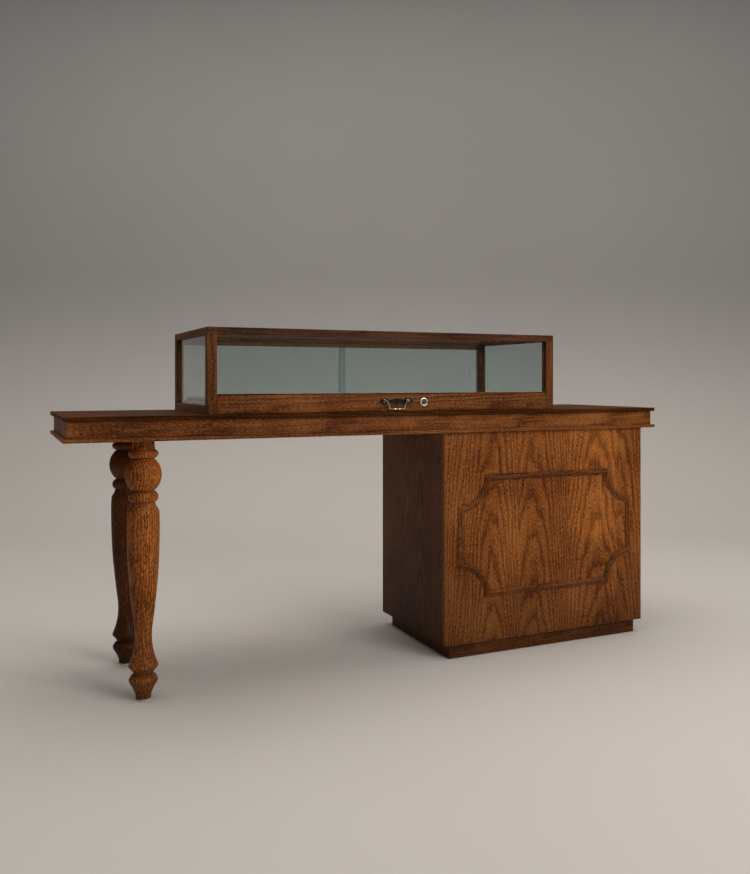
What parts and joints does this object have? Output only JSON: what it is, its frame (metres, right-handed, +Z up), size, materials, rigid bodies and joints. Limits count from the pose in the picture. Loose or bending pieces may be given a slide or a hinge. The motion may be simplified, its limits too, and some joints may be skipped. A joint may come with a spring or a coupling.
{
  "type": "jewelry display counter",
  "caption": "Long wooden display counter on two turned legs and a cupboard, with a glass jewelry showcase, sliding rear panes and a lockable drawer on top.",
  "frame": {"origin": "bottom centre of the bounding box, on the floor under the middle of the counter top", "axes": "+X along the counter from the turned legs to the cupboard, -Y towards the customer's side with the drawer, +Z up"},
  "size_m": [2, 0.5, 1.05],
  "materials": {
    "stained_wood": "brown stained open-grained wood, satin lacquer",
    "plain_wood": "plain birch board, thin clear lacquer",
    "clear_glass": "clear float glass with ground edges",
    "zinc_steel": "zinc plated",
    "antique_bronze": "dark antique bronze, rubbed bright on the high points",
    "nickel_plate": "bright nickel plate",
    "velvet": "short brown velvet",
    "nylon": "off-white nylon"
  },
  "bodies": {
    "counter": {"top_board": "stained_wood", "bottom_board": "stained_wood", "apron_front": "stained_wood", "apron_back": "stained_wood", "apron_ends": "stained_wood", "leg_front": "stained_wood", "leg_rear": "stained_wood", "cabinet_front": "stained_wood", "panel_moulding": "stained_wood", "cabinet_side_left": "stained_wood", "cabinet_side_right": "stained_wood", "plinth_boards": "stained_wood", "case_posts": "stained_wood", "top_rail_front": "stained_wood", "top_rail_back": "stained_wood", "top_rails_side": "stained_wood", "base_rails_side": "stained_wood", "base_rail_back": "stained_wood", "front_sill": "stained_wood", "deck_board": "stained_wood", "cross_ribs": "plain_wood", "leg_blocks": "plain_wood", "cabinet_top": "plain_wood", "cabinet_floor": "plain_wood", "shelf": "plain_wood", "glass_front": "clear_glass", "glass_sides": "clear_glass", "glass_top": "clear_glass", "leg_studs": "zinc_steel", "shelf_pins": "zinc_steel", "cabinet_bolts": "zinc_steel", "tee_nuts": "zinc_steel", "hinge_pins": "zinc_steel", "slides_fixed": "zinc_steel", "hinge_leaves_fixed": "antique_bronze", "door_tracks": "antique_bronze", "display_pad": "velvet", "leg_glides": "nylon", "magnet_catches": "nylon"},
    "drawer": {"drawer_front": "stained_wood", "drawer_walls": "plain_wood", "drawer_bottom": "plain_wood", "drawer_liner": "velvet", "slides_moving": "zinc_steel", "pull_plate": "antique_bronze", "pull_posts": "antique_bronze", "lock_body": "nickel_plate"},
    "bail": {"bail": "antique_bronze"},
    "lock_cylinder": {"lock_plug": "nickel_plate", "lock_cam": "zinc_steel"},
    "door_left": {"cabinet_door_left": "stained_wood", "hinge_leaves_left": "antique_bronze", "knob_left": "antique_bronze", "strike_left": "zinc_steel"},
    "door_right": {"cabinet_door_right": "stained_wood", "hinge_leaves_right": "antique_bronze", "knob_right": "antique_bronze", "strike_right": "zinc_steel"},
    "pane_left": {"glass_door_left": "clear_glass"},
    "pane_right": {"glass_door_right": "clear_glass"}
  },
  "joints": [
    {"name": "drawer_slide", "type": "slide", "parent": "counter", "child": "drawer", "axis": [0, -1, 0], "range_m": [0, 0.28]},
    {"name": "bail_swing", "type": "hinge", "parent": "drawer", "child": "bail", "pos_m": [-0.02, -0.241, 0.833], "axis": [-1, 0, 0], "range_deg": [0, 90]},
    {"name": "lock_turn", "type": "hinge", "parent": "drawer", "child": "lock_cylinder", "pos_m": [0.078, -0.231, 0.829], "axis": [0, -1, 0], "range_deg": [0, 90]},
    {"name": "door_left_hinge", "type": "hinge", "parent": "counter", "child": "door_left", "pos_m": [0.1695, 0.2393, 0.4], "axis": [0, 0, 1], "range_deg": [0, 110]},
    {"name": "door_right_hinge", "type": "hinge", "parent": "counter", "child": "door_right", "pos_m": [0.9305, 0.2393, 0.4], "axis": [0, 0, -1], "range_deg": [0, 110]},
    {"name": "pane_left_slide", "type": "slide", "parent": "counter", "child": "pane_left", "axis": [1, 0, 0], "range_m": [0, 0.55]},
    {"name": "pane_right_slide", "type": "slide", "parent": "counter", "child": "pane_right", "axis": [-1, 0, 0], "range_m": [0, 0.55]}
  ]
}
